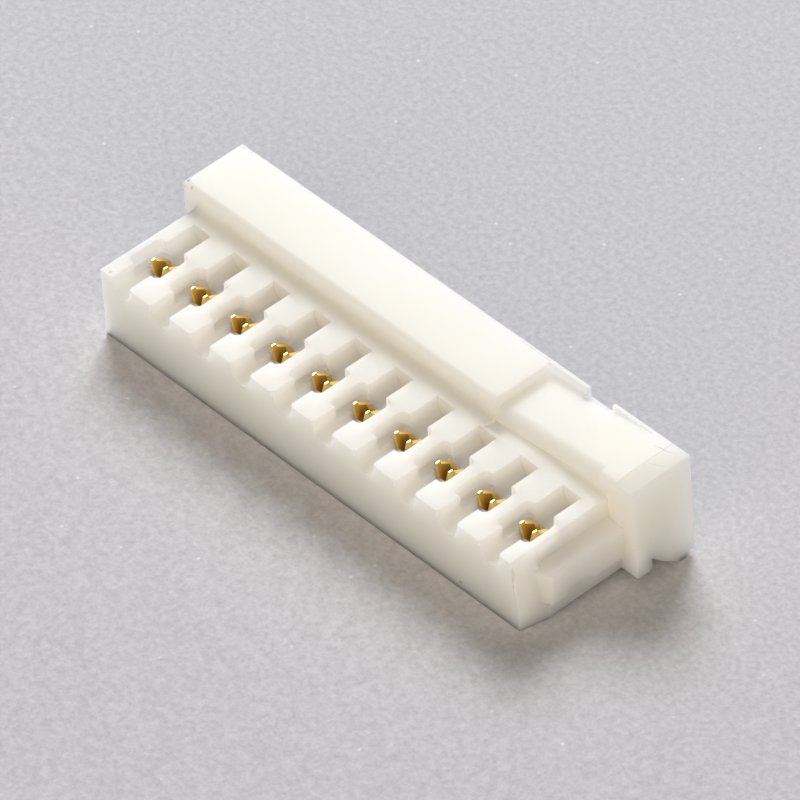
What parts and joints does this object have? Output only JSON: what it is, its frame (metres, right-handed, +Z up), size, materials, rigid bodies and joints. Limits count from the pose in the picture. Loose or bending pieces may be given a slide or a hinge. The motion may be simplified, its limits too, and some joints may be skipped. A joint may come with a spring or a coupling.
{
  "type": "insulation displacement connector",
  "caption": "Fine-pitch wire-to-board receptacle: a pale nylon comb of open wire slots with gold-plated cutting contacts, in front of a taller keyed mating block.",
  "frame": {"origin": "under the middle of the housing, level with the ridge that it rests on", "axes": "+X along the row of wires, -Y the wire side, +Y the mating side, +Z up out of the wire slots"},
  "size_m": [0.0088, 0.0028, 0.0017],
  "materials": {
    "nylon": "natural moulded nylon, satin, slightly translucent",
    "gold_plate": "gold-plated phosphor bronze, bright stamped"
  },
  "bodies": {
    "root": {"housing": "nylon", "contact_01": "gold_plate", "contact_02": "gold_plate", "contact_03": "gold_plate", "contact_04": "gold_plate", "contact_05": "gold_plate", "contact_06": "gold_plate", "contact_07": "gold_plate", "contact_08": "gold_plate", "contact_09": "gold_plate", "contact_10": "gold_plate"}
  },
  "joints": []
}
